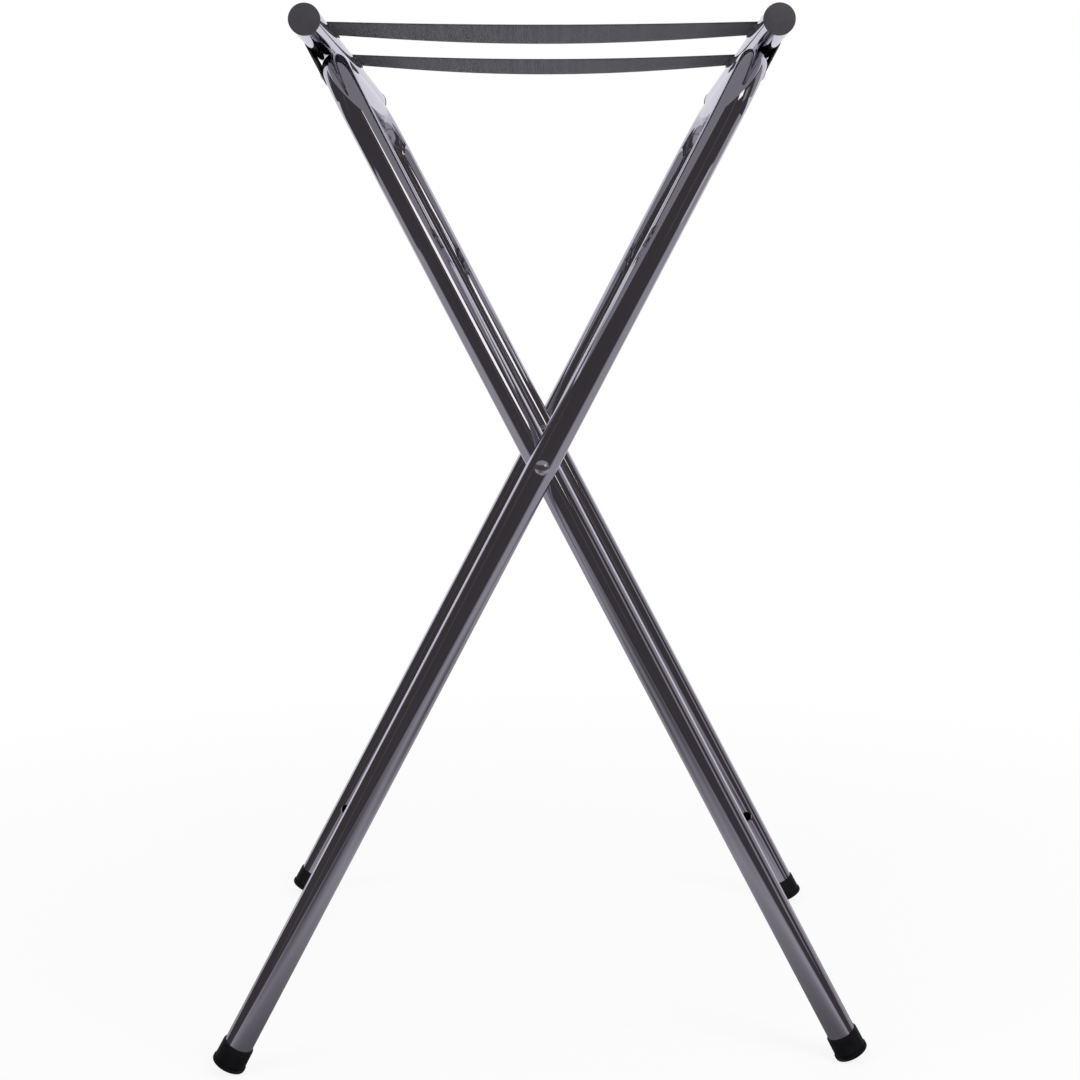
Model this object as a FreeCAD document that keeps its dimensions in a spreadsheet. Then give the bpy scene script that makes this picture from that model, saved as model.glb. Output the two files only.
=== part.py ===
import FreeCAD, Part
import math
import os
import Sketcher

# Folding tray stand: two bent tube frames cross at a pivot on each side, each carries a
# straight top rail, and two webbing straps join the rails and stop the frames from opening
# further. It is modelled open. X is the way it folds, Y runs along the rails with the front
# at -Y, and Z is up. The origin is on the floor in the middle of the four feet.
os.makedirs("parts", exist_ok=True)
doc = FreeCAD.newDocument("FoldingTrayStand")

# Driving sizes, in millimetres and degrees
SIZES = (
    ("tube_diameter", 22.2, "outside of every chromed tube"),
    ("tube_wall", 1.5, "wall of every tube"),
    ("half_angle", 27.65, "lean of each frame from upright when the stand is open"),
    ("leg_below_pivot", 511.5, "pivot to the cut end of a leg"),
    ("rail_above_pivot", 360.0, "pivot to the middle of the top rail, along the leg"),
    ("weld_gap", 0.3, "root gap between the top rail and the bent tube under it"),
    ("bend_radius", 45.0, "centre line of the two top bends"),
    ("outer_leg_spacing", 413.0, "between the legs of the outer frame"),
    ("leg_gap", 1.0, "between an inner leg and the outer leg beside it"),
    ("pinch_depth", 0.8, "how far a leg is pressed in at the pivot"),
    ("pinch_radius", 80.0, "curve of the pressed place along the leg"),
    ("hang_hole_diameter", 8.0, "plating hole in the inner side of each leg"),
    ("hang_hole_rise", 87.5, "plating hole above the cut end of the leg"),
    ("hang_hole_rim", 1.7, "width of the dished rim of the plating hole"),
    ("rail_length", 483.0, "each top rail"),
    ("weld_length", 25.0, "each weld"),
    ("weld_width", 9.0, "weld from side to side"),
    ("weld_height", 3.2, "weld before it is cut to the tubes"),
    ("weld_spacing", 110.0, "from the middle weld to the next"),
    ("cap_diameter", 22.8, "head of a rail plug"),
    ("cap_rim", 1.6, "straight edge of the plug's head"),
    ("cap_dome", 1.1, "rise of the plug's dome"),
    ("cap_plug_length", 16.0, "part of the plug inside the rail"),
    ("cap_fit", 0.06, "plug to bore, on radius"),
    ("foot_diameter", 26.4, "foot at the floor"),
    ("foot_flange_height", 3.8, "wider part of the foot at the floor"),
    ("foot_waist_diameter", 25.0, "foot just above its wider part"),
    ("foot_mouth_diameter", 24.6, "foot at its upper lip"),
    ("foot_sleeve_length", 14.5, "part of the foot around the leg"),
    ("foot_base", 4.0, "rubber under the end of the leg"),
    ("foot_edge_radius", 2.0, "rounded lower edge of the foot"),
    ("foot_lip_radius", 0.5, "rounded upper edge of the foot"),
    ("foot_fit", 0.05, "foot to leg, on radius"),
    ("floor_flat", 0.4, "depth of the flat that the foot stands on"),
    ("bolt_diameter", 6.0, "pivot bolt"),
    ("bolt_clearance", 0.08, "bolt to its holes, on radius"),
    ("bolt_head_diameter", 11.0, "domed head of the pivot bolt"),
    ("bolt_head_rim", 0.6, "straight edge of the head"),
    ("bolt_head_dome", 2.2, "rise of the head's dome"),
    ("bolt_end", 1.5, "bolt past the nut"),
    ("washer_diameter", 14.0, "spacer between the legs and washer under the nut"),
    ("washer_thickness", 1.2, "washer under the nut"),
    ("seat_gap", 0.05, "between a washer or head and what it lies on"),
    ("nut_width", 10.0, "pivot nut across its flats"),
    ("nut_height", 4.2, "six-sided part of the nut"),
    ("collar_diameter", 8.8, "round collar of the nut"),
    ("collar_height", 1.8, "collar above the six sides"),
    ("thread_fit", 0.02, "nut to bolt, on radius"),
    ("strap_width", 60.0, "webbing"),
    ("strap_thickness", 1.6, "webbing"),
    ("strap_sag", 4.5, "middle of the webbing under the tops of the rails"),
    ("strap_fit", 0.1, "webbing to rail, on radius"),
    ("front_strap_place", -127.5, "middle of the front strap along the rails"),
    ("rear_strap_place", 39.0, "middle of the rear strap along the rails"),
    ("strap_end_length", 31.0, "flat end of the webbing, from the rail down over the bar"),
    ("strap_inner_angle", 50.0, "folded end of the webbing down the inner side"),
    ("rivet_spacing", 20.0, "between the two rivets of a strap end"),
    ("rivet_diameter", 4.0, "rivet shank"),
    ("rivet_clearance", 0.1, "rivet to its holes, on radius"),
    ("rivet_head_diameter", 8.0, "rivet head"),
    ("rivet_head_rim", 0.5, "straight edge of the rivet head"),
    ("rivet_head_dome", 1.1, "rise of the rivet head"),
    ("rivet_bulb_diameter", 5.6, "spread end of the rivet inside the rail"),
    ("rivet_bulb_length", 2.5, "spread end of the rivet inside the rail"),
)
sheet = doc.addObject("Spreadsheet::Sheet", "Sizes")
for row, (alias, value, meaning) in enumerate(SIZES, start=1):
    sheet.set(f"A{row}", meaning)
    sheet.set(f"B{row}", str(value))
    sheet.setAlias(f"B{row}", alias)
doc.recompute()
NOMINAL = {alias: value for alias, value, meaning in SIZES}

# Sizes that follow from the driving ones, as expressions of the sheet
TUBE_RADIUS = "(Sizes.tube_diameter / 2)"
BORE_RADIUS = "(Sizes.tube_diameter / 2 - Sizes.tube_wall)"
FOOT_REACH = "(Sizes.leg_below_pivot + Sizes.foot_base - Sizes.foot_edge_radius)"
PIVOT_HEIGHT = (
    f"({FOOT_REACH} * cos(Sizes.half_angle)"
    " + (Sizes.foot_diameter / 2 - Sizes.foot_edge_radius) * sin(Sizes.half_angle)"
    " + Sizes.foot_edge_radius - Sizes.floor_flat)"
)
RAIL_ACROSS = "(Sizes.rail_above_pivot * sin(Sizes.half_angle))"
RAIL_HEIGHT = f"({PIVOT_HEIGHT} + Sizes.rail_above_pivot * cos(Sizes.half_angle))"
BAR_RISE = "(Sizes.rail_above_pivot - Sizes.tube_diameter - Sizes.weld_gap)"
STRAP_TURN = "(90 + Sizes.half_angle)"
LEG_STEP = "(Sizes.tube_diameter + Sizes.leg_gap)"
LEG_REACH = {
    "outer": "(Sizes.outer_leg_spacing / 2)",
    "inner": f"(Sizes.outer_leg_spacing / 2 - {LEG_STEP})",
}

# The outer frame leans to +X at the top and the inner frame to -X
SIDES = {"outer": 1, "inner": -1}
ENDS = {"front": -1, "rear": 1}
STRAPS = {"front": "Sizes.front_strap_place", "rear": "Sizes.rear_strap_place"}

# The finished pieces, by the name of their node
pieces = {}


def keep(label, item):
    """Names a finished piece."""
    item.Label = label
    pieces[label] = item


def body(name):
    """Starts a body."""
    return doc.addObject("PartDesign::Body", name)


def sketch_on(owner, role, name):
    """Starts a sketch on one of the body's own origin planes."""
    sketch = owner.newObject("Sketcher::SketchObject", name)
    plane = next(item for item in owner.Origin.OriginFeatures if item.Role == role)
    sketch.AttachmentSupport = [(plane, "")]
    sketch.MapMode = "FlatFace"
    return sketch


def bind(sketch, constraint, name, expression):
    """Adds a constraint whose value follows an expression."""
    index = sketch.addConstraint(constraint)
    sketch.renameConstraint(index, name)
    sketch.setExpression(f"Constraints.{name}", expression)


def pin(sketch, curve, end, across, up):
    """Holds a point of a curve at two expressions, measured from the sketch's origin."""
    drawn = sketch.getPoint(curve, end)
    bind(sketch, Sketcher.Constraint("DistanceX", -1, 1, curve, end, drawn.x), f"X{curve}{end}", across)
    bind(sketch, Sketcher.Constraint("DistanceY", -1, 1, curve, end, drawn.y), f"Y{curve}{end}", up)


def outline(sketch, corners, dome=None):
    """Draws a closed outline through corners given anticlockwise, as pairs of expressions.

    dome is the edge that is an arc around a centre on the sketch's upright axis. The first
    drawing is a ring, turned so that no edge of it lies level, which the constraints then
    pull to size.
    """
    first, last, centre = 1, 2, 3
    count = len(corners)
    step = 2 * math.pi / count
    turned = 0.3
    size = NOMINAL["tube_diameter"]

    def ring(place):
        angle = step * (place + turned)
        return FreeCAD.Vector(size * math.cos(angle), size * math.sin(angle), 0)

    for edge in range(count):
        if edge == dome:
            sketch.addGeometry(Part.Arc(ring(edge), ring(edge + 0.5), ring(edge + 1)))
        else:
            sketch.addGeometry(Part.LineSegment(ring(edge), ring(edge + 1)))
    if dome is not None:
        drawn = sketch.getPoint(dome, centre)
        on_axis = Sketcher.Constraint("DistanceX", -1, 1, dome, centre, drawn.x)
        bind(sketch, on_axis, "DomeCentre", "0")
    for edge, (across, up) in enumerate(corners):
        sketch.addConstraint(Sketcher.Constraint("Coincident", (edge - 1) % count, last, edge, first))
        pin(sketch, edge, first, across, up)


def revolve(name, corners, dome=None):
    """Makes a body by turning an outline around its own Z axis."""
    owner = body(name)
    sketch = sketch_on(owner, "XZ_Plane", f"{name}Outline")
    outline(sketch, corners, dome)
    turn = owner.newObject("PartDesign::Revolution", f"{name}Turn")
    turn.Profile = sketch
    turn.ReferenceAxis = (sketch, ["V_Axis"])
    turn.Angle = 360
    return owner


def drill(owner, name, radius, depth, placement):
    """Cuts a round hole that starts at a placement and runs along its Z axis."""
    hole = owner.newObject("PartDesign::SubtractiveCylinder", name)
    hole.setExpression("Radius", radius)
    hole.setExpression("Height", depth)
    hole.setExpression("Placement", placement)


def placed(across, along, up, axis="vector(0; 1; 0)", angle="0"):
    """Writes a placement as an expression."""
    return f"placement(vector({across}; {along}; {up}); rotation({axis}; {angle}))"


def along_leg(distance, reach, angle):
    """Placement of a point on a frame, that far up its legs from the pivot."""
    across = f"{distance} * sin({angle})"
    up = f"{PIVOT_HEIGHT} + {distance} * cos({angle})"
    return placed(across, reach, up, angle=angle)


def leg_frame(side):
    """The bent tube: two legs, two bends and the bar under the top rail, in one piece."""
    reach = LEG_REACH[side]
    title = side.capitalize()
    legs = body(f"{title}Legs")

    # Centre line, drawn from one cut end over the top to the other
    path = sketch_on(legs, "YZ_Plane", f"{title}Path")
    half = NOMINAL["outer_leg_spacing"] / 2
    drop = NOMINAL["leg_below_pivot"]
    bar = NOMINAL["rail_above_pivot"]
    bend = NOMINAL["bend_radius"]
    corner = bend * (1 - math.sqrt(0.5))
    near_top = FreeCAD.Vector(half, bar - bend, 0)
    near_bar = FreeCAD.Vector(half - bend, bar, 0)
    far_bar = FreeCAD.Vector(bend - half, bar, 0)
    far_top = FreeCAD.Vector(-half, bar - bend, 0)
    path.addGeometry(Part.LineSegment(FreeCAD.Vector(half, -drop, 0), near_top))
    path.addGeometry(Part.Arc(near_top, FreeCAD.Vector(half - corner, bar - corner, 0), near_bar))
    path.addGeometry(Part.LineSegment(near_bar, far_bar))
    path.addGeometry(Part.Arc(far_bar, FreeCAD.Vector(corner - half, bar - corner, 0), far_top))
    path.addGeometry(Part.LineSegment(far_top, FreeCAD.Vector(-half, -drop, 0)))
    for curve in range(4):
        path.addConstraint(Sketcher.Constraint("Tangent", curve, 2, curve + 1, 1))
    for curve in (0, 4):
        path.addConstraint(Sketcher.Constraint("Vertical", curve))
    path.addConstraint(Sketcher.Constraint("Horizontal", 2))
    pin(path, 0, 1, reach, "-Sizes.leg_below_pivot")
    pin(path, 4, 2, f"-{reach}", "-Sizes.leg_below_pivot")
    bind(path, Sketcher.Constraint("DistanceY", -1, 1, 2, 1, bar), "BarRise", BAR_RISE)
    for curve in (1, 3):
        bind(path, Sketcher.Constraint("Radius", curve, bend), f"Bend{curve}", "Sizes.bend_radius")

    # Ring section at the first cut end, carried along the centre line
    section = sketch_on(legs, "XY_Plane", f"{title}Section")
    section.setExpression("AttachmentOffset.Base.z", "-Sizes.leg_below_pivot")
    for ring, radius in enumerate((TUBE_RADIUS, BORE_RADIUS)):
        middle = FreeCAD.Vector(0, half, 0)
        size = NOMINAL["tube_diameter"] / (2 + ring)
        section.addGeometry(Part.Circle(middle, FreeCAD.Vector(0, 0, 1), size))
        pin(section, ring, 3, "0", reach)
        bind(section, Sketcher.Constraint("Radius", ring, 1.0), f"Ring{ring}", radius)
    tube = legs.newObject("PartDesign::AdditivePipe", f"{title}Tube")
    tube.Profile = section
    tube.Spine = path

    # Pressed saddles on both sides of both legs, where the pivot hardware is seated
    saddle = f"({TUBE_RADIUS} - Sizes.pinch_depth + Sizes.pinch_radius)"
    for end, way in ENDS.items():
        for face, offset in (("Outside", f"{reach} + {saddle}"), ("Inside", f"{reach} - {saddle}")):
            drill(legs, f"{title}Pinch{face}{end.capitalize()}", "Sizes.pinch_radius",
                  "2 * Sizes.tube_diameter",
                  placed("-Sizes.tube_diameter", f"{way} * ({offset})", "0", angle="90"))

    # Pivot hole through both legs, and a plating hole with a dished rim in each inner side
    drill(legs, f"{title}PivotHole", "Sizes.bolt_diameter / 2 + Sizes.bolt_clearance",
          f"2 * ({reach} + Sizes.tube_diameter)",
          placed("0", f"{reach} + Sizes.tube_diameter", "0", "vector(1; 0; 0)", "90"))
    hole_level = "Sizes.hang_hole_rise - Sizes.leg_below_pivot"
    drill(legs, f"{title}HangHoles", "Sizes.hang_hole_diameter / 2", f"2 * {reach}",
          placed("0", reach, hole_level, "vector(1; 0; 0)", "90"))
    for end, way in ENDS.items():
        rim = legs.newObject("PartDesign::SubtractiveCone", f"{title}Rim{end.capitalize()}")
        rim.setExpression("Radius1", "Sizes.hang_hole_diameter / 2")
        rim.setExpression("Radius2", "Sizes.hang_hole_diameter / 2 + 2 * Sizes.hang_hole_rim")
        rim.setExpression("Height", "Sizes.tube_wall * 2")
        start = f"{way} * ({reach} - {TUBE_RADIUS} + Sizes.tube_wall)"
        rim.setExpression("Placement", placed("0", start, hole_level, "vector(1; 0; 0)", f"{way} * 90"))

    # Rivet holes of both straps, in the outer side of the bar
    for strap, place in STRAPS.items():
        for number, way in enumerate((-1, 1), start=1):
            drill(legs, f"{title}StrapHole{strap.capitalize()}{number}",
                  "Sizes.rivet_diameter / 2 + Sizes.rivet_clearance", "Sizes.tube_diameter",
                  placed("0", f"{place} + {way} * Sizes.rivet_spacing / 2", BAR_RISE,
                         angle=f"{SIDES[side]} * 90"))

    lean = f"{SIDES[side]} * Sizes.half_angle"
    legs.setExpression("Placement", placed("0", "0", PIVOT_HEIGHT, angle=lean))
    keep(f"{side}_leg_frame", legs)


def top_rail(side):
    """The straight rail on top of a frame."""
    title = side.capitalize()
    rail = body(f"{title}Rail")
    section = sketch_on(rail, "XZ_Plane", f"{title}RailSection")
    for ring, radius in enumerate((TUBE_RADIUS, BORE_RADIUS)):
        size = NOMINAL["tube_diameter"] / (2 + ring)
        section.addGeometry(Part.Circle(FreeCAD.Vector(0, 0, 0), FreeCAD.Vector(0, 0, 1), size))
        section.addConstraint(Sketcher.Constraint("Coincident", ring, 3, -1, 1))
        bind(section, Sketcher.Constraint("Radius", ring, 1.0), f"Ring{ring}", radius)
    tube = rail.newObject("PartDesign::Pad", f"{title}RailTube")
    tube.Profile = section
    tube.SideType = "Symmetric"
    tube.setExpression("Length", "Sizes.rail_length")
    rail.setExpression("Placement", placed(f"{SIDES[side]} * {RAIL_ACROSS}", "0", RAIL_HEIGHT))
    keep(f"{side}_top_rail", rail)


def rail_caps(side):
    """The plastic plugs that close both ends of a top rail."""
    head = "Sizes.cap_diameter / 2"
    plug = f"{BORE_RADIUS} - Sizes.cap_fit"
    for end, way in ENDS.items():
        cap = revolve(f"{side.capitalize()}Cap{end.capitalize()}", (
            ("0", "-Sizes.cap_plug_length"),
            (plug, "-Sizes.cap_plug_length"),
            (plug, "0"),
            (head, "0"),
            (head, "Sizes.cap_rim"),
            ("0", "Sizes.cap_rim + Sizes.cap_dome"),
        ), dome=4)
        along = f"{way} * Sizes.rail_length / 2"
        cap.setExpression("Placement", placed(f"{SIDES[side]} * {RAIL_ACROSS}", along, RAIL_HEIGHT,
                                              "vector(1; 0; 0)", f"{-way} * 90"))
        keep(f"{side}_rail_cap_{end}", cap)


def welds(side):
    """Three welds that join a top rail to the bar under it, cut to fit both tubes."""
    title = side.capitalize()
    lean = f"{SIDES[side]} * Sizes.half_angle"
    tools = []
    for name, distance in (("Rail", "Sizes.rail_above_pivot"), ("Bar", BAR_RISE)):
        tool = doc.addObject("Part::Cylinder", f"{title}Weld{name}")
        tool.setExpression("Radius", TUBE_RADIUS)
        tool.setExpression("Height", "Sizes.rail_length")
        across = f"{distance} * sin({lean})"
        up = f"{PIVOT_HEIGHT} + {distance} * cos({lean})"
        tool.setExpression("Placement", placed(across, "Sizes.rail_length / 2", up, "vector(1; 0; 0)", "90"))
        tools.append(tool)
    tubes = doc.addObject("Part::MultiFuse", f"{title}WeldTubes")
    tubes.Shapes = tools
    centre = f"({BAR_RISE} + {TUBE_RADIUS} + Sizes.weld_gap / 2 - Sizes.weld_height / 2)"
    for place, way in (("front", -1), ("middle", 0), ("rear", 1)):
        block = doc.addObject("Part::Box", f"{title}Bead{place.capitalize()}")
        block.setExpression("Length", "Sizes.weld_width")
        block.setExpression("Width", "Sizes.weld_length")
        block.setExpression("Height", "Sizes.weld_height")
        across = f"{centre} * sin({lean}) - Sizes.weld_width / 2 * cos({lean})"
        up = f"{PIVOT_HEIGHT} + {centre} * cos({lean}) + Sizes.weld_width / 2 * sin({lean})"
        along = f"{way} * Sizes.weld_spacing - Sizes.weld_length / 2"
        block.setExpression("Placement", placed(across, along, up, angle=lean))
        weld = doc.addObject("Part::Cut", f"{title}Weld{place.capitalize()}")
        weld.Base = block
        weld.Tool = tubes
        keep(f"{side}_weld_{place}", weld)


def feet(side, floor):
    """The rubber feet over the cut ends of a frame, with a small flat where each one stands."""
    bore = f"{TUBE_RADIUS} + Sizes.foot_fit"
    lean = f"{SIDES[side]} * Sizes.half_angle"
    for end, way in ENDS.items():
        title = f"{side.capitalize()}Foot{end.capitalize()}"
        sleeve = revolve(f"{title}Sleeve", (
            ("0", "-Sizes.foot_base"),
            ("Sizes.foot_diameter / 2", "-Sizes.foot_base"),
            ("Sizes.foot_diameter / 2", "Sizes.foot_flange_height - Sizes.foot_base"),
            ("Sizes.foot_waist_diameter / 2", "Sizes.foot_flange_height - Sizes.foot_base"),
            ("Sizes.foot_mouth_diameter / 2", "Sizes.foot_sleeve_length"),
            (bore, "Sizes.foot_sleeve_length"),
            (bore, "0"),
            ("0", "0"),
        ))
        doc.recompute()
        for name, radius, level in (
            ("Edge", "foot_edge_radius", -NOMINAL["foot_base"]),
            ("Lip", "foot_lip_radius", NOMINAL["foot_sleeve_length"]),
        ):
            blank = sleeve.Tip
            rims = [
                (edge.Curve.Radius, f"Edge{number}")
                for number, edge in enumerate(blank.Shape.Edges, start=1)
                if isinstance(edge.Curve, Part.Circle) and abs(edge.Curve.Center.z - level) < 1e-6
            ]
            fillet = sleeve.newObject("PartDesign::Fillet", f"{title}{name}")
            fillet.Base = (blank, [max(rims)[1]])
            fillet.setExpression("Radius", f"Sizes.{radius}")
            doc.recompute()
        reach = f"{way} * {LEG_REACH[side]}"
        sleeve.setExpression("Placement", along_leg("-Sizes.leg_below_pivot", reach, lean))
        foot = doc.addObject("Part::Cut", title)
        foot.Base = sleeve
        foot.Tool = floor
        keep(f"{side}_foot_{end}", foot)


def saddle_seat(radius):
    """From a leg's axis to a flat round thing of that radius laid on its pressed saddle."""
    rise = f"Sizes.pinch_radius - sqrt(Sizes.pinch_radius ^ 2 - ({radius}) ^ 2)"
    return f"({TUBE_RADIUS} - Sizes.pinch_depth + {rise} + Sizes.seat_gap)"


def pivot(end):
    """Bolt, spacer between the legs, washer and lock nut of one pivot, from outside to inside."""
    title = end.capitalize()
    washer_radius = "Sizes.washer_diameter / 2"
    hole = "Sizes.bolt_diameter / 2 + Sizes.bolt_clearance"
    under_head = saddle_seat("Sizes.bolt_head_diameter / 2")
    leg_face = saddle_seat(washer_radius)
    washer_face = f"({LEG_STEP} + {leg_face})"
    nut_face = f"({washer_face} + Sizes.washer_thickness)"
    nut_total = "Sizes.nut_height + Sizes.collar_height"

    def seat(item, distance):
        """Puts a piece on the bolt's axis, facing inward, that far from the outer leg's axis."""
        along = f"{ENDS[end]} * ({LEG_REACH['outer']} - {distance})"
        turn = f"{ENDS[end]} * 90"
        item.setExpression("Placement", placed("0", along, PIVOT_HEIGHT, "vector(1; 0; 0)", turn))

    head = "Sizes.bolt_head_diameter / 2"
    shank = "Sizes.bolt_diameter / 2"
    tip = f"{nut_face} + {nut_total} + Sizes.bolt_end"
    bolt = revolve(f"{title}Bolt", (
        ("0", f"-{tip}"),
        (shank, f"-({tip})"),
        (shank, under_head),
        (head, under_head),
        (head, f"{under_head} + Sizes.bolt_head_rim"),
        ("0", f"{under_head} + Sizes.bolt_head_rim + Sizes.bolt_head_dome"),
    ), dome=4)
    along = f"{ENDS[end]} * {LEG_REACH['outer']}"
    bolt.setExpression("Placement", placed("0", along, PIVOT_HEIGHT, "vector(1; 0; 0)", f"{-ENDS[end]} * 90"))
    keep(f"pivot_bolt_{end}", bolt)

    for name, thickness, distance in (
        ("spacer", f"{LEG_STEP} - 2 * {leg_face}", leg_face),
        ("washer", "Sizes.washer_thickness", washer_face),
    ):
        ring = body(f"{title}{name.capitalize()}")
        section = sketch_on(ring, "XY_Plane", f"{title}{name.capitalize()}Section")
        for circle, radius in enumerate((washer_radius, hole)):
            size = NOMINAL["washer_diameter"] / (2 + circle)
            section.addGeometry(Part.Circle(FreeCAD.Vector(0, 0, 0), FreeCAD.Vector(0, 0, 1), size))
            section.addConstraint(Sketcher.Constraint("Coincident", circle, 3, -1, 1))
            bind(section, Sketcher.Constraint("Radius", circle, 1.0), f"Ring{circle}", radius)
        pad = ring.newObject("PartDesign::Pad", f"{title}{name.capitalize()}Pad")
        pad.Profile = section
        pad.setExpression("Length", thickness)
        seat(ring, distance)
        keep(f"pivot_{name}_{end}", ring)

    nut = body(f"{title}Nut")
    section = sketch_on(nut, "XY_Plane", f"{title}NutSection")
    sides = 6
    corner_radius = f"Sizes.nut_width / 2 / cos({180 / sides})"
    outline(section, tuple(
        (f"{corner_radius} * cos({360 * side / sides})", f"{corner_radius} * sin({360 * side / sides})")
        for side in range(sides)
    ))
    hexagon = nut.newObject("PartDesign::Pad", f"{title}NutSides")
    hexagon.Profile = section
    hexagon.setExpression("Length", "Sizes.nut_height")
    collar = nut.newObject("PartDesign::AdditiveCylinder", f"{title}NutCollar")
    collar.setExpression("Radius", "Sizes.collar_diameter / 2")
    collar.setExpression("Height", nut_total)
    drill(nut, f"{title}NutBore", f"{shank} + Sizes.thread_fit", f"2 * ({nut_total})",
          placed("0", "0", "-Sizes.nut_height / 2"))
    seat(nut, nut_face)
    keep(f"pivot_nut_{end}", nut)


def strap_half(strap, side):
    """Half a strap: the end wrapped over its rail and bar, and the webbing to the middle.

    It is drawn for the rail at +X and turned half round for the other. Its origin is at the
    height of the rails' axes, in the middle of the stand and of the webbing's width.
    """
    title = f"{strap.capitalize()}Strap{side.capitalize()}"
    inside = f"({TUBE_RADIUS} + Sizes.strap_fit)"
    outside = f"({TUBE_RADIUS} + Sizes.strap_fit + Sizes.strap_thickness)"
    half = body(title)

    def slice_of_ring(name, outer_radius, inner_radius, arc, across, up, turn):
        """A flat-ended slice of a ring around an axis along Y, turned from straight down."""
        downward = placed(across, "Sizes.strap_width / 2", up, "vector(1; 1; -1)", "120")
        start = f"{downward} * {placed('0', '0', '0', 'vector(0; 0; 1)', turn)}"
        layer = half.newObject("PartDesign::AdditiveCylinder", f"{title}{name}")
        layer.setExpression("Radius", outer_radius)
        layer.setExpression("Height", "Sizes.strap_width")
        layer.setExpression("Angle", arc)
        layer.setExpression("Placement", start)
        drill(half, f"{title}{name}Inside", inner_radius, "Sizes.strap_width", start)

    # The webbing hangs in a flat arc that leaves the wrapped end without a kink
    sweep = f"(({RAIL_ACROSS} ^ 2 + Sizes.strap_sag ^ 2) / (2 * Sizes.strap_sag))"
    slice_of_ring("Web", f"{sweep} - {inside}", f"{sweep} - {outside}", f"asin({RAIL_ACROSS} / {sweep})",
                  "0", f"{sweep} - Sizes.strap_sag", "0")
    slice_of_ring("Wrap", outside, inside, f"{STRAP_TURN} + Sizes.strap_inner_angle",
                  RAIL_ACROSS, "0", f"180 - {STRAP_TURN}")

    # The flat end lies against the outer sides of the rail and the bar, parallel to the legs
    end = half.newObject("PartDesign::AdditiveBox", f"{title}End")
    end.setExpression("Length", "Sizes.strap_end_length")
    end.setExpression("Width", "Sizes.strap_width")
    end.setExpression("Height", "Sizes.strap_thickness")
    end.setExpression("Placement", placed(f"{RAIL_ACROSS} + {inside} * cos(Sizes.half_angle)",
                                          "-Sizes.strap_width / 2",
                                          f"-{inside} * sin(Sizes.half_angle)", angle=STRAP_TURN))
    bar_up = f"({BAR_RISE} - Sizes.rail_above_pivot) * cos(Sizes.half_angle)"
    for number, way in enumerate((-1, 1), start=1):
        drill(half, f"{title}Hole{number}", "Sizes.rivet_diameter / 2 + Sizes.rivet_clearance",
              "Sizes.tube_diameter",
              placed(f"{BAR_RISE} * sin(Sizes.half_angle)", f"{way} * Sizes.rivet_spacing / 2", bar_up,
                     angle=STRAP_TURN))
    turned = 90 * (1 - SIDES[side])
    half.setExpression("Placement", placed("0", STRAPS[strap], RAIL_HEIGHT, "vector(0; 0; 1)", f"{turned}"))
    keep(f"{strap}_strap_{side}_half", half)


def rivets(strap, side):
    """The two blind rivets that hold one end of a strap to its bar."""
    shank = "Sizes.rivet_diameter / 2"
    head = "Sizes.rivet_head_diameter / 2"
    bulb = "Sizes.rivet_bulb_diameter / 2"
    bulb_top = f"sqrt({BORE_RADIUS} ^ 2 - ({bulb}) ^ 2) - Sizes.seat_gap"
    head_base = f"{TUBE_RADIUS} + Sizes.strap_fit + Sizes.strap_thickness + Sizes.seat_gap"
    for number, way in enumerate((-1, 1), start=1):
        rivet = revolve(f"{strap.capitalize()}Rivet{side.capitalize()}{number}", (
            ("0", f"{bulb_top} - Sizes.rivet_bulb_length"),
            (bulb, f"{bulb_top} - Sizes.rivet_bulb_length"),
            (bulb, bulb_top),
            (shank, bulb_top),
            (shank, head_base),
            (head, head_base),
            (head, f"{head_base} + Sizes.rivet_head_rim"),
            ("0", f"{head_base} + Sizes.rivet_head_rim + Sizes.rivet_head_dome"),
        ), dome=6)
        along = f"{STRAPS[strap]} + {way} * Sizes.rivet_spacing / 2"
        on_bar = along_leg(BAR_RISE, along, f"({SIDES[side]} * Sizes.half_angle)")
        outward = placed("0", "0", "0", angle=f"{SIDES[side]} * 90")
        rivet.setExpression("Placement", f"{on_bar} * {outward}")
        keep(f"{strap}_strap_{side}_rivet_{number}", rivet)


# The floor, as a block under Z = 0 that trims the feet
floor_block = doc.addObject("Part::Box", "FloorBlock")
FLOOR_MARGIN = "(2 * (Sizes.leg_below_pivot + Sizes.outer_leg_spacing))"
floor_block.setExpression("Length", FLOOR_MARGIN)
floor_block.setExpression("Width", FLOOR_MARGIN)
floor_block.setExpression("Height", "Sizes.foot_diameter")
CORNER = f"-{FLOOR_MARGIN} / 2"
floor_block.setExpression("Placement", placed(CORNER, CORNER, "-Sizes.foot_diameter"))

for side_name in SIDES:
    leg_frame(side_name)
    top_rail(side_name)
    rail_caps(side_name)
    welds(side_name)
    feet(side_name, floor_block)
for end_name in ENDS:
    pivot(end_name)
for strap_name in STRAPS:
    for side_name in SIDES:
        strap_half(strap_name, side_name)
        rivets(strap_name, side_name)
doc.recompute()

# Every object is sound before any piece is written
for item in doc.Objects:
    if "Invalid" in item.State or "Error" in item.State:
        raise RuntimeError(f"{item.Name} failed: {item.State}")
for label, item in pieces.items():
    if item.Shape.isNull() or not item.Shape.isValid() or len(item.Shape.Solids) != 1:
        raise RuntimeError(f"{label} is not one sound solid")
for label, item in pieces.items():
    item.Shape.exportStep(f"parts/{label}.step")
print(f"{len(pieces)} pieces written")
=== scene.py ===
import math

import bmesh
import bpy
from mathutils import Matrix, Vector


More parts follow.
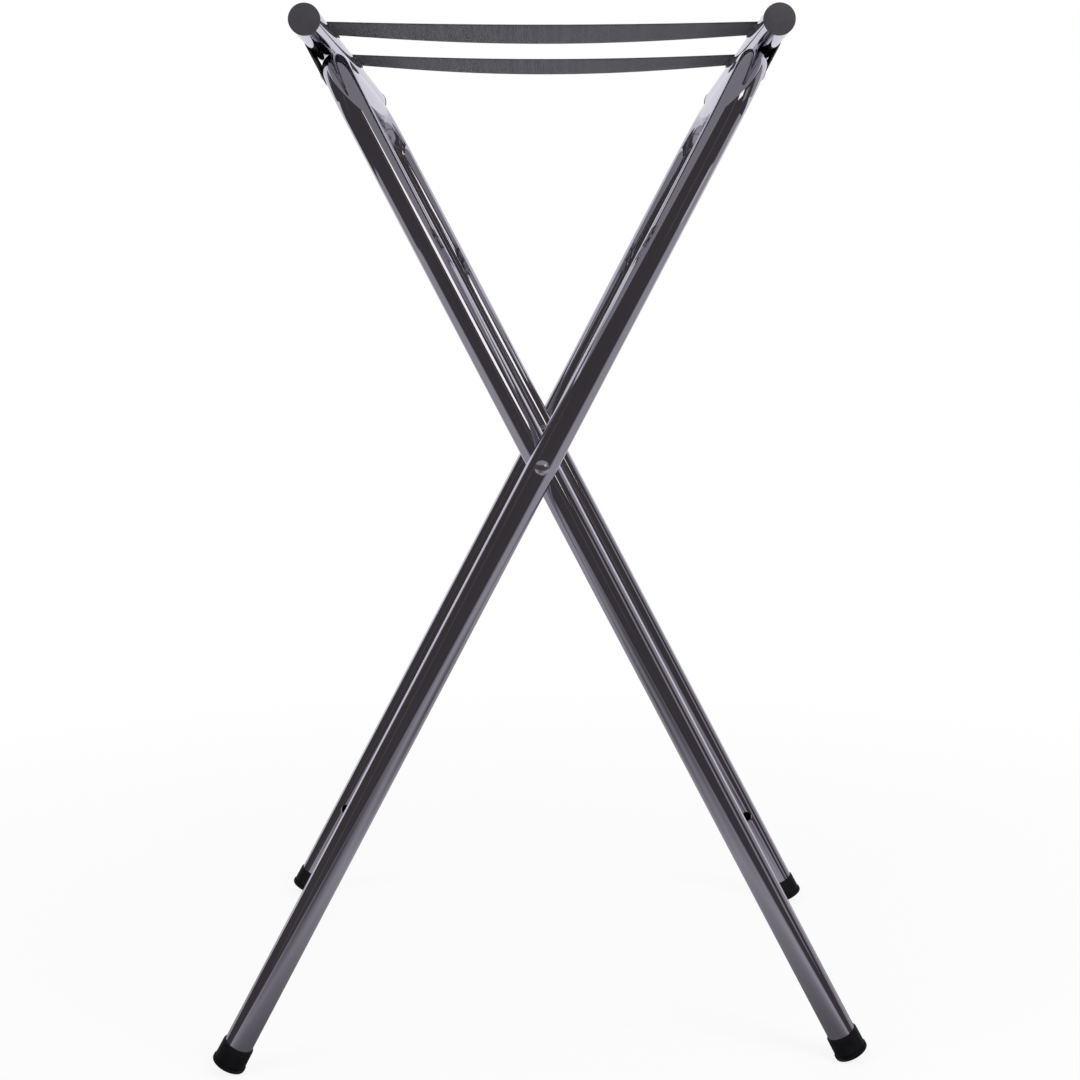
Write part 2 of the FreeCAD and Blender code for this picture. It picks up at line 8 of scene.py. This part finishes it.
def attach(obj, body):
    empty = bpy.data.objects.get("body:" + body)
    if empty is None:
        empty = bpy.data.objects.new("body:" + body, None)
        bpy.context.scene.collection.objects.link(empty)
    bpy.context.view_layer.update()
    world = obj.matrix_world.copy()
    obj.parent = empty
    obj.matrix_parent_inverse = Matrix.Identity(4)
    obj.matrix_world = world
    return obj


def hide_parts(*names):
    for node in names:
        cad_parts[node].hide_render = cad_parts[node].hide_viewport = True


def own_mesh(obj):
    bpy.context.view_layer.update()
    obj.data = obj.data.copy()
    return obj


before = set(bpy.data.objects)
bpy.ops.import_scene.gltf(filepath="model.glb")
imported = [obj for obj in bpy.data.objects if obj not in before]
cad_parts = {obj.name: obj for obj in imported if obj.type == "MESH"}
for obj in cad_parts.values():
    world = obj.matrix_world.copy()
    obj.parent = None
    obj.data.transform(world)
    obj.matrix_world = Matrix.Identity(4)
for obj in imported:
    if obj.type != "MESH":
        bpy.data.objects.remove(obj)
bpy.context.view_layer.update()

# Camera of the photograph. It stands 1.5 m in front of the stand at three quarters of its
# height, and looks slightly down. Fitted to the legs, feet, plugs and rails in the picture.
camera_data = bpy.data.cameras.new("camera")
camera_data.sensor_width = 36
camera_data.lens = 58.1
camera_data.shift_x = -0.0085
camera_data.shift_y = -0.076
camera = bpy.data.objects.new("camera", camera_data)
camera.location = (0.0085, -1.4886, 0.5744)
camera.rotation_euler = (math.radians(90 - 4.74), 0, math.radians(0.15))
bpy.context.scene.collection.objects.link(camera)
bpy.context.scene.camera = camera


# Leg frames, each a 22 mm steel tube bent to a U and then chrome plated. The plating is
# bright, with a faint ripple left by polishing and a thin haze in places.
def new_material(name):
    """A new material with its nodes, its links and its shader."""
    material = bpy.data.materials.new(name)
    material.use_nodes = True
    nodes = material.node_tree.nodes
    return material, nodes, material.node_tree.links, nodes["Principled BSDF"]


def dress(node_name, material):
    """Gives a CAD node its finish."""
    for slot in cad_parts[node_name].material_slots:
        slot.link = "OBJECT"
        slot.material = material


def noise(nodes, links, coordinates, scale, detail=3.0):
    texture = nodes.new("ShaderNodeTexNoise")
    texture.inputs["Scale"].default_value = scale
    texture.inputs["Detail"].default_value = detail
    links.new(coordinates, texture.inputs["Vector"])
    return texture.outputs["Fac"]


def spread(nodes, links, value, low, high, start=0.3, end=0.7):
    """Runs from low to high while value runs from start to end."""
    ranged = nodes.new("ShaderNodeMapRange")
    ranged.inputs["From Min"].default_value = start
    ranged.inputs["From Max"].default_value = end
    ranged.inputs["To Min"].default_value = low
    ranged.inputs["To Max"].default_value = high
    links.new(value, ranged.inputs["Value"])
    return ranged.outputs["Result"]


def two_tone(nodes, links, value, dark, light):
    """A colour that goes from dark at value 0 to light at value 1."""
    mix = nodes.new("ShaderNodeMix")
    mix.data_type = "RGBA"
    mix.inputs["A"].default_value = (*dark, 1)
    mix.inputs["B"].default_value = (*light, 1)
    links.new(value, mix.inputs["Factor"])
    return mix.outputs["Result"]


def emboss(nodes, links, shader, height, depth):
    """Raises the surface by up to depth where height is 1."""
    bump = nodes.new("ShaderNodeBump")
    bump.inputs["Strength"].default_value = 1.0
    bump.inputs["Distance"].default_value = depth
    links.new(height, bump.inputs["Height"])
    links.new(bump.outputs["Normal"], shader.inputs["Normal"])


def plated(name, light, ripple, haze):
    """Plated metal: ripple is the height of its waves, haze its greatest roughness."""
    material, nodes, links, shader = new_material(name)
    place = nodes.new("ShaderNodeTexCoord").outputs["Object"]
    dark = tuple(0.9 * channel for channel in light)
    cloud = spread(nodes, links, noise(nodes, links, place, 9), 0, 1)
    links.new(two_tone(nodes, links, cloud, dark, light), shader.inputs["Base Color"])
    shader.inputs["Metallic"].default_value = 1
    smear = noise(nodes, links, place, 60, 4)
    links.new(spread(nodes, links, smear, haze / 2, haze), shader.inputs["Roughness"])
    emboss(nodes, links, shader, noise(nodes, links, place, 45, 2), ripple)
    return material


def burnished(node_name, nearest, finish):
    """A copy of a tube, shaded by its true round: away from its centre line, which nearest
    gives for a point. Holes, saddles and cut ends stay flat."""
    same_place, same_distance, facing_out = 0.000001, 0.00003, 0.9
    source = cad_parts[node_name]
    mesh = bmesh.new()
    mesh.from_mesh(source.data)
    bmesh.ops.transform(mesh, matrix=source.matrix_world, verts=mesh.verts[:])
    bmesh.ops.remove_doubles(mesh, verts=mesh.verts[:], dist=same_place)
    data = bpy.data.meshes.new(f"{node_name}_burnished")
    mesh.to_mesh(data)
    mesh.free()
    normals = []
    for polygon in data.polygons:
        corners = [data.vertices[index].co for index in polygon.vertices]
        rays = [corner - nearest(corner) for corner in corners]
        lengths = [ray.length for ray in rays]
        outward = polygon.normal.dot(rays[0].normalized())
        on_round = max(lengths) - min(lengths) < same_distance and abs(outward) > facing_out
        way = math.copysign(1, outward)
        normals += [way * ray.normalized() if on_round else polygon.normal for ray in rays]
        polygon.use_smooth = True
    data.normals_split_custom_set(normals)
    data.materials.clear()
    data.materials.append(finish)
    piece = bpy.data.objects.new(f"{node_name}_burnished", data)
    bpy.context.scene.collection.objects.link(piece)
    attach(piece, f"{node_name[:5]}_frame")
    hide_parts(node_name)


PIVOT_HEIGHT = 0.461655
HALF_ANGLE = math.radians(27.65)
BEND_RADIUS = 0.045
BAR_RISE = 0.3375
leg_chrome = plated("leg_chrome", (0.60, 0.59, 0.64), 0.000004, 0.05)
for side, lean, reach in (("outer", HALF_ANGLE, 0.2065), ("inner", -HALF_ANGLE, 0.1833)):
    up_leg = Vector((math.sin(lean), 0, math.cos(lean)))

    def bent_line(point):
        """The nearest point of the line up a leg, round the bend and along the bar."""
        rise = (point - Vector((0, 0, PIVOT_HEIGHT))).dot(up_leg)
        straight = reach - BEND_RADIUS
        beyond = max(0.0, abs(point.y) - straight)
        above = max(0.0, rise - (BAR_RISE - BEND_RADIUS))
        if beyond > 0 and above > 0:
            size = BEND_RADIUS / math.hypot(beyond, above)
            beyond *= size
            above *= size
        elif beyond > 0:
            beyond = BEND_RADIUS
        else:
            above = BEND_RADIUS
        across = math.copysign(straight + beyond, point.y) if beyond > 0 else point.y
        level = BAR_RISE - BEND_RADIUS + above if above > 0 else rise
        return Vector((0, across, PIVOT_HEIGHT)) + up_leg * level

    burnished(f"{side}_leg_frame", bent_line, leg_chrome)


# Rubber feet pushed over the cut ends of the legs. They are moulded, satin black, in faintly uneven
# tones.
def moulded(name, dark, light, roughness, grain_scale, grain_depth):
    material, nodes, links, shader = new_material(name)
    place = nodes.new("ShaderNodeTexCoord").outputs["Object"]
    cloud = spread(nodes, links, noise(nodes, links, place, 70), 0, 1)
    links.new(two_tone(nodes, links, cloud, dark, light), shader.inputs["Base Color"])
    rough = spread(nodes, links, noise(nodes, links, place, 160), roughness * 0.85, roughness)
    links.new(rough, shader.inputs["Roughness"])
    emboss(nodes, links, shader, noise(nodes, links, place, grain_scale, 2), grain_depth)
    return material


foot_rubber = moulded("foot_rubber", (0.0025, 0.0025, 0.0035), (0.006, 0.006, 0.008), 0.55,
                      1500, 0.00002)
foot_rubber.node_tree.nodes["Principled BSDF"].inputs["Specular IOR Level"].default_value = 0.25
for side in ("outer", "inner"):
    for end in ("front", "rear"):
        dress(f"{side}_foot_{end}", foot_rubber)

# Top rails, straight lengths of the same tube, welded along the bars of the frames with
# three short beads each. The beads are plated over, so they are bright but lumpy.
weld_chrome = plated("weld_chrome", (0.52, 0.51, 0.55), 0.0004, 0.22)
RAIL_ACROSS = 0.167066
RAIL_HEIGHT = 0.780543
for side, facing in (("outer", 1), ("inner", -1)):
    def rail_line(point):
        return Vector((facing * RAIL_ACROSS, point.y, RAIL_HEIGHT))

    burnished(f"{side}_top_rail", rail_line, leg_chrome)
    for place_name in ("front", "middle", "rear"):
        dress(f"{side}_weld_{place_name}", weld_chrome)

# Plugs pressed into the ends of the rails. They are moulded in matte charcoal plastic with a
# fine grain, and are lighter than the feet.
cap_plastic = moulded("cap_plastic", (0.046, 0.042, 0.049), (0.058, 0.053, 0.061), 0.62,
                      1100, 0.00004)
for side in ("outer", "inner"):
    for end in ("front", "rear"):
        dress(f"{side}_rail_cap_{end}", cap_plastic)

# Pivots: a domed bolt through both legs, a spacer between them, a washer and a lock nut.
# They are zinc plated, a little duller than the chrome.
bright_zinc = plated("bright_zinc", (0.74, 0.73, 0.76), 0.00001, 0.3)
for end in ("front", "rear"):
    for piece in ("bolt", "spacer", "washer", "nut"):
        dress(f"pivot_{piece}_{end}", bright_zinc)

# Straps of woven webbing, 60 mm wide with cross ribs 1.35 mm apart. They wrap over both
# rails, hang flat over the outer sides of the bars and are riveted there. The inner end is
# folded in under the webbing, and the rear edge of each strap hangs lower than the front.
RAIL_RADIUS = 0.0111
STRAP_FIT = 0.0001
WEBBING = 0.0016
STRAP_WIDTH = 0.060
RIB = 0.00135
YARN = 0.0009
WEAVE_DEPTH = 0.00018
PRESSED_RIBS = 0.00002
LOOSE_RIBS = 0.0001
RIBS_OPEN = 0.025
HALF_FOLD = math.radians(25.25)
FOLDED_GAP = 0.0014
STRAP_END = 0.031


def webbing_material():
    """Ribs across the strap, each in a tone of its own, with painted shade in the grooves between them
    and fine yarns along it.
    """
    material, nodes, links, shader = new_material("webbing")
    weave = nodes.new("ShaderNodeUVMap")
    weave.uv_map = "weave"
    parts = nodes.new("ShaderNodeSeparateXYZ")
    links.new(weave.outputs["UV"], parts.inputs["Vector"])

    def sums(operation, first, second):
        node = nodes.new("ShaderNodeMath")
        node.operation = operation
        for socket, value in zip(node.inputs, (first, second)):
            if isinstance(value, (int, float)):
                socket.default_value = value
            else:
                links.new(value, socket)
        return node.outputs["Value"]

    turns = sums("MULTIPLY", parts.outputs["X"], 2 * math.pi / RIB)
    ribs = sums("MULTIPLY_ADD", sums("COSINE", turns, 0), 0.5)
    nodes[-1].inputs[2].default_value = 0.5
    yarns = sums("SINE", sums("MULTIPLY", parts.outputs["Y"], 2 * math.pi / YARN), 0)
    rib_number = sums("FLOOR", sums("DIVIDE", parts.outputs["X"], RIB), 0)
    chance = nodes.new("ShaderNodeTexWhiteNoise")
    chance.noise_dimensions = "1D"
    links.new(rib_number, chance.inputs["W"])
    cloud = noise(nodes, links, weave.outputs["UV"], 120, 5)
    # Each rib's own tone times the rib profile, so the grooves between the ribs carry painted shade.
    light = sums("MULTIPLY", ribs, sums("MULTIPLY", chance.outputs["Value"], cloud))
    tone = two_tone(nodes, links, light, (0.022, 0.017, 0.029), (0.140, 0.116, 0.170))
    links.new(tone, shader.inputs["Base Color"])
    shader.inputs["Roughness"].default_value = 0.75
    shader.inputs["Sheen Weight"].default_value = 0.3
    shader.inputs["Sheen Roughness"].default_value = 0.5
    height = sums("ADD", ribs, sums("MULTIPLY", yarns, 0.35))
    emboss(nodes, links, shader, height, WEAVE_DEPTH)
    return material


def webbing(name, place, start, length, route, rows, rib_depth, body, facing):
    """A length of webbing that begins start from the end of the strap. It is laid along route,
    which gives the middle of its thickness and its upward direction for a distance along it
    and a share of its width."""
    columns, edge_power, edge_share = 14, 14, 0.12
    mesh = bmesh.new()
    bmesh.ops.create_grid(mesh, x_segments=rows, y_segments=columns, size=0.5)
    bmesh.ops.solidify(mesh, geom=mesh.faces[:], thickness=0.1)
    layer = mesh.loops.layers.uv.new("weave")
    middle = sum(vertex.co.z for vertex in mesh.verts) / len(mesh.verts)
    spots = {}
    for vertex in mesh.verts:
        along = (vertex.co.x + 0.5) * length
        share = math.sin(vertex.co.y * math.pi)
        spots[vertex] = (along, share, 1 if vertex.co.z > middle else -1)
    for vertex, (along, share, upper) in spots.items():
        point, up = route(along, share)
        edge = math.sqrt(max(0.0, 1 - abs(share) ** edge_power))
        ribs = rib_depth(along) * math.cos(2 * math.pi * (start + along) / RIB)
        half = (WEBBING / 2 - rib_depth(along) + ribs) * max(edge, edge_share)
        spot = point + up * upper * half
        vertex.co = (facing * spot.x, place + share * STRAP_WIDTH / 2, spot.z)
    for face in mesh.faces:
        face.smooth = len({spots[vertex][2] for vertex in face.verts}) == 1
        for loop in face.loops:
            along, share, upper = spots[loop.vert]
            loop[layer].uv = (start + along, share * STRAP_WIDTH / 2)
    bmesh.ops.recalc_face_normals(mesh, faces=mesh.faces[:])
    data = bpy.data.meshes.new(name)
    mesh.to_mesh(data)
    mesh.free()
    data.materials.append(strap_webbing)
    piece = bpy.data.objects.new(name, data)
    bpy.context.scene.collection.objects.link(piece)
    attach(piece, body)
    return piece


strap_webbing = webbing_material()
wrap_radius = RAIL_RADIUS + STRAP_FIT + WEBBING / 2
outer_turn = math.radians(90) + HALF_ANGLE
tail_start = math.radians(9)
tail_end = math.radians(38)
join = (PIVOT_HEIGHT, RAIL_HEIGHT + wrap_radius)
join_across = ((join[1] - join[0]) * math.sin(HALF_FOLD) + FOLDED_GAP) / math.cos(HALF_FOLD)


def sag(across, share, front_sag, rear_sag):
    """How far the webbing hangs under the tops of the rails."""
    flatter_by_rails = 1.15
    deep = front_sag + (rear_sag - front_sag) * (share + 1) / 2
    return deep * (1 - (across / RAIL_ACROSS) ** 2) ** flatter_by_rails


for strap, place, front_sag, rear_sag in (
    ("front", -0.1275, 0.0022, 0.0070),
    ("rear", 0.0390, 0.0038, 0.0082),
):
    for side, facing in (("outer", 1), ("inner", -1)):
        arc = wrap_radius * outer_turn

        def over_rail(along, share):
            """Up the outer sides of the bar and the rail, and on towards the other rail."""
            hanging = max(0.0, STRAP_END - along)
            if along < STRAP_END + arc:
                angle = max(0.0, along - STRAP_END) / wrap_radius - outer_turn
                up = Vector((-math.sin(angle), 0, math.cos(angle)))
                down = Vector((-math.sin(HALF_ANGLE), 0, -math.cos(HALF_ANGLE))) * hanging
                return Vector((RAIL_ACROSS, 0, RAIL_HEIGHT)) + up * wrap_radius + down, up
            across = RAIL_ACROSS - (along - STRAP_END - arc)
            drop = sag(across, share, front_sag, rear_sag)
            return Vector((across, 0, RAIL_HEIGHT + wrap_radius - drop)), Vector((0, 0, 1))

        def folded_end(along, share):
            """The cut end under the webbing, down the inner side of the rail."""
            angle = tail_start + along / wrap_radius
            up = Vector((-math.sin(angle), 0, math.cos(angle)))
            return Vector((RAIL_ACROSS, 0, RAIL_HEIGHT)) + up * wrap_radius, up

        def to_middle(along, share):
            """From the rail to the middle of the stand."""
            across = join_across - along
            drop = sag(across, share, front_sag, rear_sag)
            return Vector((across, 0, RAIL_HEIGHT + wrap_radius - drop)), Vector((0, 0, 1))

        def pressed(along):
            """Ribs that are pulled flat over the rail."""
            return PRESSED_RIBS

        def woven(along):
            """Ribs that open up away from the rail."""
            return PRESSED_RIBS + LOOSE_RIBS * min(1.0, along / RIBS_OPEN)

        body = f"{side}_frame"
        wrap_length = STRAP_END + arc + RAIL_ACROSS - join_across
        tail_length = wrap_radius * (tail_end - tail_start)
        end = webbing(f"{strap}_strap_{side}_wrap", place, 0, wrap_length, over_rail, 80,
                      pressed, body, facing)
        tail = webbing(f"{strap}_strap_{side}_fold", place, 0, tail_length, folded_end, 20,
                       pressed, body, facing)
        web = webbing(f"{strap}_strap_{side}_web", place, wrap_length, join_across, to_middle, 700,
                      woven, body, facing)
        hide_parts(f"{strap}_strap_{side}_half")
        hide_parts(f"{strap}_strap_{side}_half")
        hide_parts(f"{strap}_strap_{side}_half")
        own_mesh(web)

# Blind rivets, two to each strap end, in the outer sides of the bars. Their domed heads are
# zinc plated like the pivots.
for strap in ("front", "rear"):
    for side in ("outer", "inner"):
        for number in (1, 2):
            dress(f"{strap}_strap_{side}_rivet_{number}", bright_zinc)

# Studio: a white floor and background, three soft lamps, and cards that only reflections see.
# The cards are a dark room with a window and a few paler panels, a grey ceiling, and a grey floor with
# painted shadows round the front feet and a dark patch in front of the left one.
LILAC_WHITE = (0.78, 0.77, 0.84)
WHITE = (1.0, 1.0, 1.0)
EYE_LEVEL = 0.6
ROOM_RADIUS = 8
CEILING_EDGE = 25.5
world = bpy.data.worlds.new("studio")
bpy.context.scene.world = world
world.use_nodes = True
world_nodes = world.node_tree.nodes
world_links = world.node_tree.links
background = world_nodes["Background"]
rays = world_nodes.new("ShaderNodeLightPath")


def pick(nodes, links, operation, values):
    """The largest or the smallest of some values."""
    total = values[0]
    for value in values[1:]:
        node = nodes.new("ShaderNodeMath")
        node.operation = operation
        links.new(total, node.inputs[0])
        links.new(value, node.inputs[1])
        total = node.outputs["Value"]
    return total


def seen_directly(nodes, links, rays):
    """1 for rays from the camera and from reflections, 0 for light on matte surfaces."""
    return pick(nodes, links, "MAXIMUM", [rays.outputs["Is Camera Ray"], rays.outputs["Is Glossy Ray"],
                                          rays.outputs["Is Transmission Ray"]])


tint = two_tone(world_nodes, world_links, rays.outputs["Is Camera Ray"], LILAC_WHITE, WHITE)
world_links.new(tint, background.inputs["Color"])
seen = seen_directly(world_nodes, world_links, rays)
world_links.new(spread(world_nodes, world_links, seen, 0.5, 1.0, 0, 1), background.inputs["Strength"])

floor_mesh = bmesh.new()
bmesh.ops.create_circle(floor_mesh, cap_ends=True, segments=96, radius=30)
floor_data = bpy.data.meshes.new("floor")
floor_mesh.to_mesh(floor_data)
floor_mesh.free()
floor = bpy.data.objects.new("floor", floor_data)
bpy.context.scene.collection.objects.link(floor)
floor_paint, nodes, links, shader = new_material("floor_paint")
shader.inputs["Base Color"].default_value = (0.9, 0.9, 0.9, 1)
shader.inputs["Roughness"].default_value = 0.9
shader.inputs["Specular IOR Level"].default_value = 0.1
glow = nodes.new("ShaderNodeEmission")
rays = nodes.new("ShaderNodeLightPath")
links.new(two_tone(nodes, links, rays.outputs["Is Camera Ray"], LILAC_WHITE, WHITE), glow.inputs["Color"])
away = nodes.new("ShaderNodeVectorMath")
away.operation = "LENGTH"
links.new(nodes.new("ShaderNodeTexCoord").outputs["Object"], away.inputs[0])
both = nodes.new("ShaderNodeMath")
both.operation = "MULTIPLY"
links.new(seen_directly(nodes, links, rays), both.inputs[0])
links.new(spread(nodes, links, away.outputs["Value"], 0.86, 1.0, 0.25, 1.2), both.inputs[1])
blend = nodes.new("ShaderNodeMixShader")
links.new(both.outputs["Value"], blend.inputs["Fac"])
links.new(shader.outputs["BSDF"], blend.inputs[1])
links.new(glow.outputs["Emission"], blend.inputs[2])
links.new(blend.outputs["Shader"], nodes["Material Output"].inputs["Surface"])
floor_data.materials.append(floor_paint)


def reflected_only(name, mesh, colour):
    """A card that shows in polished surfaces and nowhere else."""
    data = bpy.data.meshes.new(name)
    mesh.to_mesh(data)
    mesh.free()
    card = bpy.data.objects.new(name, data)
    bpy.context.scene.collection.objects.link(card)
    paint = bpy.data.materials.new(name)
    paint.use_nodes = True
    paint.node_tree.nodes.clear()
    glow = paint.node_tree.nodes.new("ShaderNodeEmission")
    glow.inputs["Color"].default_value = (*colour, 1)
    out = paint.node_tree.nodes.new("ShaderNodeOutputMaterial")
    paint.node_tree.links.new(glow.outputs["Emission"], out.inputs["Surface"])
    data.materials.append(paint)
    card.visible_camera = False
    card.visible_diffuse = False
    card.visible_transmission = False
    card.visible_volume_scatter = False
    card.visible_shadow = False
    return paint.node_tree, glow


def wall(name, start, end, low, high, colour, distance=7.9):
    """An upright curved card round the stand, between two bearings and two elevations.
    Bearing 0 is the camera's side and grows towards +X."""
    mesh = bmesh.new()
    begin = Vector((math.sin(math.radians(start)), -math.cos(math.radians(start)), 0)) * distance
    ends = [mesh.verts.new(begin + Vector((0, 0, EYE_LEVEL + distance * math.tan(math.radians(angle)))))
            for angle in (low, high)]
    edge = mesh.edges.new(ends)
    bmesh.ops.spin(mesh, geom=[*ends, edge], cent=(0, 0, 0), axis=(0, 0, 1),
                   angle=math.radians(end - start), steps=24)
    return reflected_only(name, mesh, colour)


def lay(name, left, right, front, back, level, colour):
    """A flat card over the floor."""
    mesh = bmesh.new()
    bmesh.ops.create_grid(mesh, x_segments=1, y_segments=1, size=0.5)
    bmesh.ops.transform(mesh, verts=mesh.verts[:], matrix=(
        Matrix.Translation(((left + right) / 2, (front + back) / 2, level))
        @ Matrix.Diagonal((right - left, back - front, 1, 1))))
    return reflected_only(name, mesh, colour)


wall("dark_wall", -123, 128, -9, CEILING_EDGE, (0.062, 0.054, 0.057), ROOM_RADIUS)
wall("window", 29, 48, 14, 27, (1.6, 1.55, 1.5))
wall("glint_left", -54, -52.5, -5, 20, (0.22, 0.2, 0.2))
wall("glint_right", 17, 18.5, -5, 20, (0.22, 0.2, 0.2))
wall("panel_left", -122, -110, 8, 24, (0.13, 0.12, 0.14))
wall("panel_right", 97, 127, -8, 22, (0.32, 0.30, 0.34))
wall("post_right", 60, 74, 0, 18, (0.30, 0.28, 0.31))

ceiling_height = EYE_LEVEL + ROOM_RADIUS * math.tan(math.radians(CEILING_EDGE))
ceiling = bmesh.new()
bmesh.ops.create_circle(ceiling, cap_ends=True, segments=64, radius=ROOM_RADIUS,
                        matrix=Matrix.Translation((0, -2.5, ceiling_height)))
reflected_only("ceiling", ceiling, (0.27, 0.26, 0.29))
lay("dark_floor", -9, 9, -9, 1.3, 0.001, (0.062, 0.056, 0.064))
lay("side_floor", -1.9, 2.3, -0.45, 1.3, 0.002, (0.38, 0.365, 0.40))
lay("bright_floor", 1.0, 1.9, -0.85, -0.35, 0.003, (0.60, 0.58, 0.62))
near_floor, glow = lay("near_floor", -1.5, 1.6, -1.05, 1.1, 0.004, WHITE)
floor_place = near_floor.nodes.new("ShaderNodeTexCoord").outputs["Object"]
parts = near_floor.nodes.new("ShaderNodeSeparateXYZ")
near_floor.links.new(floor_place, parts.inputs["Vector"])
# The floor card fades dark towards the camera, and has painted shadows round the two front feet and a
# dark patch in front of the left foot.
limits = [spread(near_floor.nodes, near_floor.links, parts.outputs["Y"], 0, 1, -1.0, -0.6)]
for across, along, darkest, start, end in (
    (-0.235, -0.2, 0.28, 0.03, 0.28),
    (0.235, -0.2, 0.28, 0.03, 0.28),
    (-0.2, -0.68, 0.15, 0.05, 0.5),
):
    reach = near_floor.nodes.new("ShaderNodeVectorMath")
    reach.operation = "DISTANCE"
    reach.inputs[1].default_value = (across, along, 0)
    near_floor.links.new(floor_place, reach.inputs[0])
    limits.append(spread(near_floor.nodes, near_floor.links, reach.outputs["Value"],
                         darkest, 1, start, end))
bright = pick(near_floor.nodes, near_floor.links, "MINIMUM", limits)
shade = two_tone(near_floor.nodes, near_floor.links, bright, (0.035, 0.03, 0.035), (0.40, 0.385, 0.425))
near_floor.links.new(shade, glow.inputs["Color"])

for name, spot, size, power in (
    ("key_lamp", (1.3, -1.5, 1.7), 1.2, 30),
    ("fill_lamp", (-2.0, -1.6, 2.2), 1.8, 30),
    ("back_lamp", (0.3, 2.4, 2.4), 1.6, 16),
):
    lamp_data = bpy.data.lights.new(name, "AREA")
    lamp_data.size = size
    lamp_data.energy = power
    lamp = bpy.data.objects.new(name, lamp_data)
    lamp.location = spot
    lamp.rotation_euler = (Vector((0, 0, 0.45)) - Vector(spot)).to_track_quat("-Z", "Y").to_euler()
    lamp.visible_glossy = False
    bpy.context.scene.collection.objects.link(lamp)

bpy.context.scene.view_settings.view_transform = "Standard"
